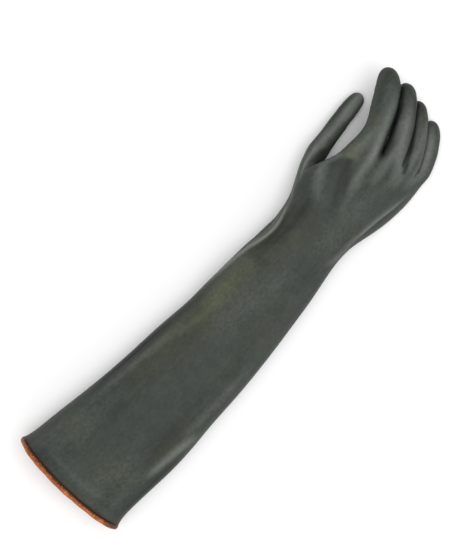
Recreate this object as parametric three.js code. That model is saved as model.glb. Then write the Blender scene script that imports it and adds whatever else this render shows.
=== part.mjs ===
// Shoulder length rubber glove, right hand, lying palm down on a flat floor.
// Millimetres, +Z up. +X runs from the cuff to the fingertips and +Y to the thumb side.
import * as THREE from 'three';

// Driving dimensions.
const WALL = 1.8; // thickness of the dipped rubber
const GAP = 0.3; // clearance between the two pieces
const BEAD_LONG = 6.2; // rolled edge, along the sleeve
const BEAD_THICK = 3.8; // rolled edge, across the wall
const BEAD_PROUD = 0.7; // how far the rolled edge stands outside the sleeve
const LINING = 0.8; // thickness of the inner layer behind the rolled edge
const LINING_ROWS = 5; // rows of the sleeve that the inner layer reaches
const EXPONENT = 2.35; // roundness of the sleeve's section, 2 is an ellipse
const RING_SHRINK = 0.977; // limit surface against control ring, 20 points
const LOOP_SHRINK = 0.9024; // limit surface against control loop, 8 points
const PALM_ARCH = 0.0033; // cup of the palm across its width, per mm
const SPAN = 0.93; // share of the half width covered by the upper and lower columns
const PALM_SKEW = 0.09; // how far the columns of the palm crowd to the far side

const RUBBER = { color: 0x434a44, roughness: 0.62, metalness: 0 };
const ORANGE = { color: 0xc9602a, roughness: 0.5, metalness: 0 };

// Sections of the sleeve and the hand. x, y, z: centre; a: half width; up, down: height over
// and under the centre; roll: lift of the thumb side in degrees; turn: heading in degrees;
// arch: share of the palm's cup; bow: how far the sides run ahead of the middle.
const SECTIONS = [
  // x, y, z, a, up, down, roll, turn, arch, bow
  [-0.2, -0.2, 31, 74.4, 41.5, 37, 0, 0.6, 0, 3.2],
  [8.6, -0.5, 31, 72.0, 38.5, 37, 0, 0.6, 0, 2.5],
  [24, -1.4, 31, 71.0, 37, 37, 0, 0.6, 0, 1],
  [50, -3.4, 31, 70.5, 37, 37, 0, 0.4, 0, 0],
  [90, -7.9, 31, 67.6, 37, 37, 0, 0, 0, 0],
  [125, -9.0, 31, 65.3, 37, 37, 0, 0, 0, 0],
  [162, -8.8, 31, 63.0, 36, 37, 0, 0, 0, 0],
  [202, -10.1, 31, 61.7, 35, 37, 0, 0, 0, 0],
  [250, -10.1, 31, 56.5, 34, 37, 0, 0, 0, 0],
  [300, -7.4, 31, 53.6, 33, 37, 0, 0, 0, 0],
  [345, -5.6, 30, 49.5, 32, 36, 0, 0, 0, 0],
  [376, -3.3, 30, 45.3, 31, 35, 2, 0, 0, 0],
  [400, -0.8, 31, 44.8, 31, 34, 6, 2, 0.2, 0],
  [420, 0.0, 33, 47.0, 29, 31, 12, 4, 0.5, 0],
  [441, -0.5, 35, 56.3, 25, 27, 18, 6, 0.8, 0],
  [462, -5.5, 37, 61.0, 22, 24, 24, 9, 1, 0],
  [484, -11.6, 38.5, 59.5, 19.5, 21.5, 28, 13, 1, 0],
  [504, -14.0, 39.5, 58.6, 17.5, 19.5, 31, 17, 1, 0],
  [519, -13.3, 39.5, 59.4, 14.5, 16, 33, 20, 1, 0],
];

// Fingers from the root to the tip. x, y, z: centre; w: half width; t: half thickness.
const FINGERS = {
  index: { roll: 20, loop: [0, 1, 2, 3, 'W0', 17, 18, 19], path: [
    [531, 24.9, 57, 14.5, 12.8],
    [549.6, 33.4, 58, 15.5, 12.3],
    [569.4, 45.1, 56.8, 16.0, 12.0],
    [585.8, 55.3, 52.8, 14.8, 11.6],
    [596.6, 69.0, 48, 13.3, 11.0],
  ] },
  middle: { roll: 28, loop: ['W0', 3, 4, 5, 'W1', 15, 16, 17], path: [
    [534, -5.4, 45.7, 13.6, 12.4],
    [555.5, 4.8, 46, 13.8, 12.2],
    [575.4, 18.3, 42.6, 13.4, 11.8],
    [590.9, 30.5, 39, 12.9, 11.4],
    [600.5, 41.6, 35, 12.6, 11.0],
  ] },
  ring: { roll: 38, loop: ['W1', 5, 6, 7, 'W2', 13, 14, 15], path: [
    [538, -29.3, 29.5, 12.2, 11.8],
    [557.5, -18.3, 29, 12.6, 11.6],
    [576, -5.5, 26.5, 12.2, 11.2],
    [589.6, 7.5, 23.4, 11.6, 10.6],
    [598, 17.6, 21.5, 11.2, 10.4],
  ] },
  little: { roll: 44, loop: ['W2', 7, 8, 9, 10, 11, 12, 13], path: [
    [542, -45.0, 12.2, 11.0, 11.0],
    [555, -39.8, 11.6, 11.6, 10.9],
    [572, -31.2, 11.3, 11.4, 10.5],
    [585, -20.9, 11, 11.2, 10.3],
    [594.5, -10.0, 10.8, 11.4, 10.0],
  ] },
};

// Webs between the fingers. over, under: columns of the last section; ahead: how far the web
// lies in front of them.
const WEBS = [
  [3, 17, 3],
  [5, 15, 6],
  [7, 13, 16],
];

// The thumb leaves the hand between these sections and columns.
const THUMB_ROW = 14;
const THUMB_COLUMN = 19;
const THUMB = { roll: 8, path: [
  [468, 58.5, 26, 14.0, 12.0],
  [481, 60.8, 24.5, 11.8, 11.8],
  [499, 62.9, 21, 11.0, 11.0],
  [519, 66.0, 17, 10.8, 10.6],
  [543, 68.6, 13.0, 10.6, 10.2],
  [560.5, 69.8, 11.5, 10.4, 9.8],
] };

// Rounded fingertip: distance before the tip and size, both against the shaft.
const TIP = [
  [0.56, 0.87],
  [0.12, 0.5],
];
const TIP_CAP = 0.16;

const rad = (degrees) => degrees * Math.PI / 180;
const add = (p, q, s = 1) => p.map((value, i) => value + q[i] * s);
const sub = (p, q) => add(p, q, -1);
const scale = (p, s) => p.map((value) => value * s);
const dot = (p, q) => p[0] * q[0] + p[1] * q[1] + p[2] * q[2];
const cross = (p, q) => [
  p[1] * q[2] - p[2] * q[1],
  p[2] * q[0] - p[0] * q[2],
  p[0] * q[1] - p[1] * q[0],
];
const unit = (p) => scale(p, 1 / Math.hypot(...p));
const sum = (points) => points.reduce((total, p) => add(total, p), [0, 0, 0]);
const onFloor = (p) => [p[0], p[1], Math.max(0, p[2])];

// Side and upward directions of a section that is rolled and then turned.
function directions(roll, turn) {
  const r = rad(roll);
  const h = rad(turn);
  return {
    side: [-Math.sin(h) * Math.cos(r), Math.cos(h) * Math.cos(r), Math.sin(r)],
    up: [Math.sin(h) * Math.sin(r), -Math.cos(h) * Math.sin(r), Math.cos(r)],
  };
}

// Twenty control points round one section: thumb side, nine above, far side, nine below.
function sectionRing([x, y, z, a, up, down, roll, turn, arch, bow]) {
  const frame = directions(roll, turn);
  const half = a / RING_SHRINK;
  const place = (share, height) => {
    const f = share - arch * PALM_SKEW * (1 - share ** 2);
    const across = f * half;
    const round = (1 - Math.abs(f) ** EXPONENT) ** (1 / EXPONENT);
    const lift = height * round - arch * PALM_ARCH * across ** 2;
    return onFloor(add(add([x + bow * f * f, y, z], frame.side, across), frame.up, lift));
  };
  const shares = Array.from({ length: 9 }, (_, j) => SPAN * (4 - j) / 4);
  return [
    place(1, 0),
    ...shares.map((f) => place(f, up)),
    place(-1, 0),
    ...shares.map((f) => place(-f, -down)),
  ];
}

// Control mesh: points and quads.
const cage = { points: [], quads: [] };
const addPoints = (points) => points.map((p) => cage.points.push(p) - 1);
const bridge = (from, to, keep = () => true) => {
  from.forEach((_, k) => {
    const next = (k + 1) % from.length;
    if (keep(k)) {
      cage.quads.push([from[k], from[next], to[next], to[k]]);
    }
  });
};

// One finger: loops of eight along the path, a rounded end and a cap of four quads.
function addFinger(root, { roll, path }) {
  const tip = path[path.length - 1];
  const shaft = path.slice(0, -1);
  const last = shaft[shaft.length - 1];
  const ends = TIP.map(([before, size]) => {
    const reach = Math.hypot(...sub(tip.slice(0, 3), last.slice(0, 3)));
    const t = 1 - before * tip[3] / reach;
    const centre = add(last.slice(0, 3), sub(tip.slice(0, 3), last.slice(0, 3)), t);
    return [...centre, tip[3] * size, tip[4] * size];
  });
  const stations = [...shaft, ...ends];
  const start = scale(sum(root.map((i) => cage.points[i])), 1 / root.length);
  const centres = [start, ...stations.map((s) => s.slice(0, 3)), tip.slice(0, 3)];
  let previous = root;
  stations.forEach(([x, y, z, w, t], i) => {
    const along = unit(sub(centres[i + 2], centres[i]));
    const turn = Math.atan2(along[1], along[0]) * 180 / Math.PI;
    const side = directions(roll, turn).side;
    const level = unit(sub(side, scale(along, dot(side, along))));
    const upward = cross(along, level);
    const loop = Array.from({ length: 8 }, (_, k) => {
      const angle = k * Math.PI / 4;
      const p = add([x, y, z], level, w / LOOP_SHRINK * Math.cos(angle));
      return onFloor(add(p, upward, t / LOOP_SHRINK * Math.sin(angle)));
    });
    const current = addPoints(loop);
    bridge(previous, current);
    previous = current;
  });
  const along = unit(sub(tip.slice(0, 3), last.slice(0, 3)));
  const [cap] = addPoints([add(tip.slice(0, 3), along, TIP_CAP * tip[3])]);
  for (let k = 0; k < 8; k += 2) {
    cage.quads.push([cap, previous[k], previous[k + 1], previous[(k + 2) % 8]]);
  }
}

const rings = SECTIONS.map((section) => addPoints(sectionRing(section)));
const overThumb = (row, k) => (
  (row === THUMB_ROW - 1 || row === THUMB_ROW)
  && (k === THUMB_COLUMN - 1 || k === THUMB_COLUMN)
);
rings.slice(1).forEach((ring, row) => {
  bridge(rings[row], ring, (k) => !overThumb(row, k));
});

// Webs between the fingers: a control point halfway between the upper and lower columns, and
// then ahead along the hand.
const lastRing = rings[rings.length - 1];
const heading = rad(SECTIONS[SECTIONS.length - 1][7]);
const webs = WEBS.map(([over, under, ahead]) => {
  const [p, q] = [cage.points[lastRing[over]], cage.points[lastRing[under]]];
  const onward = [ahead * Math.cos(heading), ahead * Math.sin(heading), 0];
  return addPoints([add(scale(add(p, q), 0.5), onward)])[0];
});
Object.values(FINGERS).forEach((finger) => {
  const root = finger.loop.map((k) => (typeof k === 'string' ? webs[Number(k[1])] : lastRing[k]));
  addFinger(root, finger);
});
const around = [[-1, 0], [-1, 1], [0, 1], [1, 1], [1, 0], [1, -1], [0, -1], [-1, -1]];
const thumbRoot = around.map(([row, k]) => rings[THUMB_ROW + row][(THUMB_COLUMN + k) % 20]);
addFinger(thumbRoot, THUMB);

// The point inside the thumb's opening belongs to no quad and is left out.
function withoutLoose({ points, quads }) {
  const used = new Set(quads.flat());
  const kept = points.map((_, i) => i).filter((i) => used.has(i));
  const renumber = new Map(kept.map((i, fresh) => [i, fresh]));
  return {
    points: kept.map((i) => points[i]),
    quads: quads.map((quad) => quad.map((i) => renumber.get(i))),
  };
}

// Neighbours of every control point and edge of a quad mesh.
function neighbours({ points, quads }) {
  const edges = new Map();
  const faces = points.map(() => []);
  const spokes = points.map(() => []);
  quads.forEach((quad, f) => quad.forEach((a, i) => {
    const b = quad[(i + 1) % 4];
    const key = Math.min(a, b) * points.length + Math.max(a, b);
    faces[a].push(f);
    if (!edges.has(key)) {
      edges.set(key, { a, b, faces: [] });
      spokes[a].push(key);
      spokes[b].push(key);
    }
    edges.get(key).faces.push(f);
  }));
  return { edges, faces, spokes };
}

// One round of Catmull-Clark subdivision. The open edge follows its own cubic curve.
function refine(mesh) {
  const { points, quads } = mesh;
  const { edges, faces, spokes } = neighbours(mesh);
  const middles = quads.map((quad) => scale(sum(quad.map((i) => points[i])), 0.25));
  const fresh = points.map((p, v) => {
    const own = spokes[v].map((key) => edges.get(key));
    const open = own.filter((edge) => edge.faces.length === 1);
    const other = (edge) => points[edge.a === v ? edge.b : edge.a];
    if (open.length) {
      return add(scale(p, 0.75), sum(open.map(other)), 0.125);
    }
    const n = own.length;
    const total = add(sum(own.map(other)), sum(faces[v].map((f) => middles[f])));
    return add(scale(p, (n - 2) / n), total, 1 / n ** 2);
  });
  const middle = middles.map((p) => fresh.push(p) - 1);
  const split = new Map();
  edges.forEach((edge, key) => {
    const ends = add(points[edge.a], points[edge.b]);
    const closed = edge.faces.length === 2;
    const point = closed
      ? scale(add(ends, sum(edge.faces.map((f) => middles[f]))), 0.25)
      : scale(ends, 0.5);
    split.set(key, fresh.push(point) - 1);
  });
  const at = (a, b) => split.get(Math.min(a, b) * points.length + Math.max(a, b));
  const smaller = quads.flatMap((quad, f) => quad.map((a, i) => {
    const before = quad[(i + 3) % 4];
    const after = quad[(i + 1) % 4];
    return [a, at(a, after), middle[f], at(before, a)];
  }));
  return { points: fresh, quads: smaller };
}

// The same mesh with every point moved to where endless subdivision would put it.
function toLimit(mesh) {
  const { points, quads } = mesh;
  const { edges, faces, spokes } = neighbours(mesh);
  const limit = points.map((p, v) => {
    const own = spokes[v].map((key) => edges.get(key));
    const open = own.filter((edge) => edge.faces.length === 1);
    const other = (edge) => points[edge.a === v ? edge.b : edge.a];
    if (open.length) {
      return add(scale(p, 4 / 6), sum(open.map(other)), 1 / 6);
    }
    const n = own.length;
    const opposite = faces[v].map((f) => points[quads[f][(quads[f].indexOf(v) + 2) % 4]]);
    const total = add(add(scale(p, n ** 2), sum(own.map(other)), 4), sum(opposite));
    return scale(total, 1 / (n * (n + 5)));
  });
  return { points: limit, quads };
}

// Outward unit normal at every point, from the quads round it.
function pointNormals({ points, quads }) {
  const normals = points.map(() => [0, 0, 0]);
  quads.forEach((quad) => {
    const [p, q, r, s] = quad.map((i) => points[i]);
    const normal = cross(sub(r, p), sub(s, q));
    quad.forEach((i) => {
      normals[i] = add(normals[i], normal);
    });
  });
  return normals.map(unit);
}

// Points of the open edge in order, then the next rows of points up the sleeve.
function sleeveRows({ points, quads }, count) {
  const { edges } = neighbours({ points, quads });
  const open = [...edges.values()].filter((edge) => edge.faces.length === 1);
  const next = new Map(open.map((edge) => [edge.a, edge.b]));
  const rows = [[open[0].a]];
  while (rows[0].length < open.length) {
    rows[0].push(next.get(rows[0][rows[0].length - 1]));
  }
  const used = new Set();
  while (rows.length < count) {
    const row = rows[rows.length - 1];
    rows.push(row.map((a, k) => {
      const b = row[(k + 1) % row.length];
      const f = quads.findIndex((quad, i) => !used.has(i) && quad.includes(a) && quad.includes(b));
      used.add(f);
      const quad = quads[f];
      const i = quad.indexOf(a);
      return quad[(i + 1) % 4] === b ? quad[(i + 3) % 4] : quad[(i + 1) % 4];
    }));
  }
  return rows;
}

const outer = toLimit(refine(withoutLoose(cage)));
const normals = pointNormals(outer);
const inward = (i, depth) => add(outer.points[i], normals[i], -depth);

const rows = sleeveRows(outer, LINING_ROWS);

// Section of the rim in one column: up the inner layer, round the bead and back.
function rimSection(column) {
  const [edge, second] = column;
  const out = unit(sub(outer.points[edge], outer.points[second]));
  const place = (along, height) => (
    onFloor(add(add(outer.points[edge], out, along), normals[edge], height))
  );
  const depth = WALL + GAP;
  const bead = [place(GAP, -depth)];
  for (let degrees = 0; degrees <= 280; degrees += 40) {
    const along = GAP + BEAD_LONG / 2 * (1 - Math.cos(rad(degrees)));
    bead.push(place(along, BEAD_PROUD - BEAD_THICK / 2 * (1 - Math.sin(rad(degrees)))));
  }
  return [
    ...column.map((i) => inward(i, depth)).reverse(),
    ...bead,
    ...column.map((i) => inward(i, depth + LINING)),
  ];
}

// Closed mesh from points and quads, with every quad split along its shorter diagonal.
function solid(name, points, quads, { color, roughness, metalness }) {
  const far = (i, j) => Math.hypot(...sub(points[i], points[j]));
  const index = quads.flatMap(([a, b, c, d]) => (
    far(a, c) <= far(b, d) ? [a, b, c, a, c, d] : [a, b, d, b, c, d]
  ));
  const geometry = new THREE.BufferGeometry();
  geometry.setAttribute('position', new THREE.Float32BufferAttribute(points.flat(), 3));
  geometry.setIndex(index);
  geometry.computeVertexNormals();
  const material = new THREE.MeshStandardMaterial({ color, roughness, metalness });
  const mesh = new THREE.Mesh(geometry, material);
  mesh.name = name;
  return mesh;
}

// The shell: outer skin, inner skin facing the other way and a flat edge at the cuff.
function gloveShell() {
  const count = outer.points.length;
  const points = [...outer.points, ...outer.points.map((_, i) => inward(i, WALL))];
  const inner = outer.quads.map((quad) => quad.map((i) => i + count).reverse());
  const edge = rows[0].map((a, k) => {
    const b = rows[0][(k + 1) % rows[0].length];
    return [b, a, a + count, b + count];
  });
  return solid('glove_shell', points, [...outer.quads, ...inner, ...edge], RUBBER);
}

function cuffRim() {
  const points = [];
  const quads = [];
  const sections = rows[0].map((_, k) => (
    rimSection(rows.map((row) => row[k])).map((p) => points.push(p) - 1)
  ));
  sections.forEach((section, k) => {
    const following = sections[(k + 1) % sections.length];
    section.forEach((a, i) => {
      const j = (i + 1) % section.length;
      quads.push([a, section[j], following[j], following[i]]);
    });
  });
  return solid('cuff_rim', points, quads, ORANGE);
}

const group = new THREE.Group();
group.name = 'shoulder_glove';
group.add(gloveShell(), cuffRim());

// The origin is on the floor, under the middle of the whole.
const box = new THREE.Box3().setFromObject(group);
const middle = box.getCenter(new THREE.Vector3());
group.children.forEach((mesh) => {
  mesh.geometry.translate(-middle.x, -middle.y, -box.min.z);
});
export default group;
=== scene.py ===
import math

import bpy
import numpy as np
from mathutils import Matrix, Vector


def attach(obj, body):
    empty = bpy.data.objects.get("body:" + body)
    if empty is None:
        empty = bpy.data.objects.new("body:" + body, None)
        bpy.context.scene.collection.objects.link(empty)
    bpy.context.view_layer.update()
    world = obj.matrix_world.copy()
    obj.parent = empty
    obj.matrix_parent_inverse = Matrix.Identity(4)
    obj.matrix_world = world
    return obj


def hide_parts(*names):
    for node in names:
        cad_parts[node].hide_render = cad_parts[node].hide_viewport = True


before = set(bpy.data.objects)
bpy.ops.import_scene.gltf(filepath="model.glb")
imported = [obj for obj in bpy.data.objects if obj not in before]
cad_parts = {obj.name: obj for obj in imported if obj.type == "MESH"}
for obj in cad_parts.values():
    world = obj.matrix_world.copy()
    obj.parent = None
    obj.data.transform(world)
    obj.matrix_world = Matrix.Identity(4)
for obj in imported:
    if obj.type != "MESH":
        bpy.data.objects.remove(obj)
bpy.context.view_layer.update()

MM = 0.001
SHIFT = (-298.588, -1.211, 0.0)  # from the middle of the cuff to under the middle of the whole

WALL = 1.8  # thickness of the dipped rubber, mm
GAP = 0.3  # between the shell and the rolled edge
BEAD_LONG = 6.2  # rolled edge, along the sleeve
BEAD_THICK = 3.8  # rolled edge, across the wall
BEAD_PROUD = 0.7  # how far the rolled edge stands outside the sleeve
LINING = 0.8  # thickness of the orange layer behind the rolled edge
LINING_ROWS, LINING_REACH = 12, 2.3  # rows of its mesh, and how many sections up it goes
EDGE_COLUMNS = 8  # columns of its mesh for each control point round
EXPONENT = 2.35  # roundness of the sleeve's section, 2 is an ellipse
ROUND, LOOP = 20, 8  # control points round a section and round a finger
SMOOTH_LEVELS = 3  # subdivisions of the control mesh
FINER_WITHIN = (6, 3.5)  # mm from a sharp fold within which quads are split, and split again
RING_SHRINK = 0.977  # limit surface against control ring, 20 points
LOOP_SHRINK = 0.9024  # limit surface against control loop, 8 points
PALM_ARCH = 0.0033  # cup of the palm across its width, per mm
SPAN = 0.93  # share of the half width covered by the upper and lower columns
PALM_SKEW = 0.09  # how far the columns of the palm crowd to the far side

# The two tints of the outer rubber; the chalk colour of its powdery dust, which also paints the
# highlight on the palest crests, and aged rubber; the cuff edge and the lining, lighter and burnt,
# and black rubber thinly over orange, whose brown also paints the shade on the rolled edge.
GREENISH, BLUISH = "#2f342c", "#2b312d"
CHALK_AND_HIGHLIGHT, YELLOWED = "#6e716c", "#42442f"
ORANGE, BURNT, STAIN_AND_SHADE_BROWN = "#ba6631", "#904b1d", "#2e180c"

# Sections of the sleeve and the hand, mm and degrees: centre, half width, height over and under
# the centre, lift of the thumb side, heading, share of the palm's cup, lead of the sides.
SECTIONS = np.array([
    # x, y, z, a, up, down, roll, turn, arch, bow
    [-0.2, -0.2, 31, 74.4, 41.5, 37, 0, 0.6, 0, 3.2],
    [8.6, -0.5, 31, 72.0, 38.5, 37, 0, 0.6, 0, 2.5],
    [24, -1.4, 31, 71.0, 37, 37, 0, 0.6, 0, 1],
    [50, -3.4, 31, 70.5, 37, 37, 0, 0.4, 0, 0],
    [90, -7.9, 31, 67.6, 37, 37, 0, 0, 0, 0],
    [125, -9.0, 31, 65.3, 37, 37, 0, 0, 0, 0],
    [162, -8.8, 31, 63.0, 36, 37, 0, 0, 0, 0],
    [202, -10.1, 31, 61.7, 35, 37, 0, 0, 0, 0],
    [250, -10.1, 31, 56.5, 34, 37, 0, 0, 0, 0],
    [300, -7.4, 31, 53.6, 33, 37, 0, 0, 0, 0],
    [345, -5.6, 30, 49.5, 32, 36, 0, 0, 0, 0],
    [376, -3.3, 30, 45.3, 31, 35, 2, 0, 0, 0],
    [400, -0.8, 31, 44.8, 31, 34, 6, 2, 0.2, 0],
    [420, 0.0, 33, 47.0, 29, 31, 12, 4, 0.5, 0],
    [441, -0.5, 35, 56.3, 25, 27, 18, 6, 0.8, 0],
    [462, -5.5, 37, 61.0, 22, 24, 24, 9, 1, 0],
    [484, -11.6, 38.5, 59.5, 19.5, 21.5, 28, 13, 1, 0],
    [504, -14.0, 39.5, 58.6, 17.5, 19.5, 31, 17, 1, 0],
    [519, -13.3, 39.5, 59.4, 14.5, 16, 33, 20, 1, 0],
])

# Fingers: lift of the thumb side in degrees, the points of the last section and the webs that
# they grow from, and the path from root to tip. x, y, z: centre; w: half width; t: half thickness.
FINGERS = {
    "index": (20, [0, 1, 2, 3, "W0", 17, 18, 19], [
        [531, 24.9, 57, 14.5, 12.8],
        [549.6, 33.4, 58, 15.5, 12.3],
        [569.4, 45.1, 56.8, 16.0, 12.0],
        [585.8, 55.3, 52.8, 14.8, 11.6],
        [596.6, 69.0, 48, 13.3, 11.0]]),
    "middle": (28, ["W0", 3, 4, 5, "W1", 15, 16, 17], [
        [534, -5.4, 45.7, 13.6, 12.4],
        [555.5, 4.8, 46, 13.8, 12.2],
        [575.4, 18.3, 42.6, 13.4, 11.8],
        [590.9, 30.5, 39, 12.9, 11.4],
        [600.5, 41.6, 35, 12.6, 11.0]]),
    "ring": (38, ["W1", 5, 6, 7, "W2", 13, 14, 15], [
        [538, -29.3, 29.5, 12.2, 11.8],
        [557.5, -18.3, 29, 12.6, 11.6],
        [576, -5.5, 26.5, 12.2, 11.2],
        [589.6, 7.5, 23.4, 11.6, 10.6],
        [598, 17.6, 21.5, 11.2, 10.4]]),
    "little": (44, ["W2", 7, 8, 9, 10, 11, 12, 13], [
        [542, -45.0, 12.2, 11.0, 11.0],
        [555, -39.8, 11.6, 11.6, 10.9],
        [572, -31.2, 11.3, 11.4, 10.5],
        [585, -20.9, 11, 11.2, 10.3],
        [594.5, -10.0, 10.8, 11.4, 10.0]]),
}
WEBS = [(3, 17, 3), (5, 15, 6), (7, 13, 16)]  # columns over and under, how far the web lies ahead
THUMB_ROW, THUMB_COLUMN = 14, 19  # the thumb leaves the hand round this point of the sections
THUMB = (8, [
    [468, 58.5, 26, 14.0, 12.0],
    [481, 60.8, 24.5, 11.8, 11.8],
    [499, 62.9, 21, 11.0, 11.0],
    [519, 66.0, 17, 10.8, 10.6],
    [543, 68.6, 13.0, 10.6, 10.2],
    [560.5, 69.8, 11.5, 10.4, 9.8]])
# Rounded tip, in shares of the finger's half width: how far its two small loops lie before the
# end of the path, their size, and how far the last point lies behind it.
TIP = np.array([[0.56, 0.87], [0.12, 0.5]])
TIP_CAP = 0.16

# Folds of the upper side. Height, less than 0 for a groove; half width; and the points of the line
# that the fold follows, mm, as an eye at EYE sees them on the level SEEN_LEVEL.
EYE = np.array([304, 30, 1550])
SEEN_LEVEL = 30
FOLDS = {
    "wrist_fold": (2.1, 1.45, [
        (236, 47.4), (256, 46.8), (276, 45.4), (296, 43.8), (322, 41.3), (338, 39.5), (352, 36.6),
        (366, 34.3), (380, 34), (396, 38.2), (410, 42.6), (424, 47)]),
    "outside_wrist_fold": (-1.0, 2.6, [(338, 45), (358, 40.5), (374, 39), (396, 43)]),
    "outside_wrist_swell": (2.0, 4.0, [(318, 50), (350, 47), (370, 46), (388, 46)]),
    "under_wrist_fold": (-1.3, 3.2, [
        (318, 37), (345, 33), (370, 29), (396, 32), (410, 36), (424, 42)]),
    "wrist_crease_a": (-0.4, 2.2, [(342, 36), (350, 28), (357, 20)]),
    "wrist_crease_b": (-0.5, 2.2, [(355, 32), (362, 25), (368, 17)]),
    "wrist_crease_c": (-0.4, 2.2, [(368, 30), (374, 22), (378, 14)]),
    "wrist_crease_d": (-0.3, 2.2, [(383, 30), (387, 23), (391, 16)]),
    "far_wrist_crease_a": (-0.35, 2.1, [(352, -31), (366, -29.5), (378, -30)]),
    "far_wrist_crease_b": (-0.4, 2.1, [(354, -36), (370, -34.5), (384, -35)]),
    "far_wrist_crease_c": (-0.35, 2.1, [(358, -41), (374, -39.5), (388, -40)]),
    "far_wrist_ridge": (1.0, 2.4, [(380, -39.5), (408, -41), (436, -41)]),
    "thumb_base_edge": (1.2, 1.15, [(412, 45), (426, 51), (440, 58.5), (453, 65), (466, 69.5)]),
    "thumb_base_second": (0.6, 1.5, [(432, 48), (444, 56), (456, 61.5), (470, 64)]),
    "thumb_joint": (1.4, 6.5, [(420, 15), (434, 24), (446, 32), (460, 41), (476, 44)]),
    "palm_turn": (-1.8, 6, [(508, 36), (488, 27), (470, 15), (452, 4), (424, -14)]),
    "index_ridge": (1.8, 5, [(450, -8), (472, 3), (492, 7), (516, 12.5), (538, 19), (560, 29)]),
    "index_root": (1.4, 5, [(490, 36), (506, 31), (526, 29), (548, 35)]),
    "middle_ridge": (1.5, 4.2, [(480, -14), (508, -9), (530, -6), (556, 1)]),
    "ring_ridge": (1.1, 4.5, [(488, -27), (520, -25), (545, -22), (562, -18)]),
    "far_hand_line": (1.2, 1.5, [
        (416, -40), (436, -42.3), (456, -43.7), (475, -46), (494, -49), (520, -50.5)]),
    "thumb_side_groove": (-1.0, 2.3, [(90, 55), (150, 50.5), (212, 45.5)]),
    "thumb_side_ridge": (0.6, 3.4, [(70, 47.5), (152, 42.5), (240, 33)]),
    "far_side_bulge": (1.5, 4.4, [
        (54, -60), (70, -60.6), (86, -61.4), (102, -62.4), (118, -64), (132, -66.5), (150, -71)]),
    "far_side_hollow": (-0.8, 7, [(60, -46), (105, -50), (150, -49), (190, -49)]),
    "cuff_ripple_a": (-0.45, 2.4, [(5, 62), (-1, 30), (-1, -30), (12, -64)]),
    "cuff_ripple_b": (0.2, 3.0, [(12, 62), (6, 30), (6, -30), (18, -64)]),
}
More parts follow.
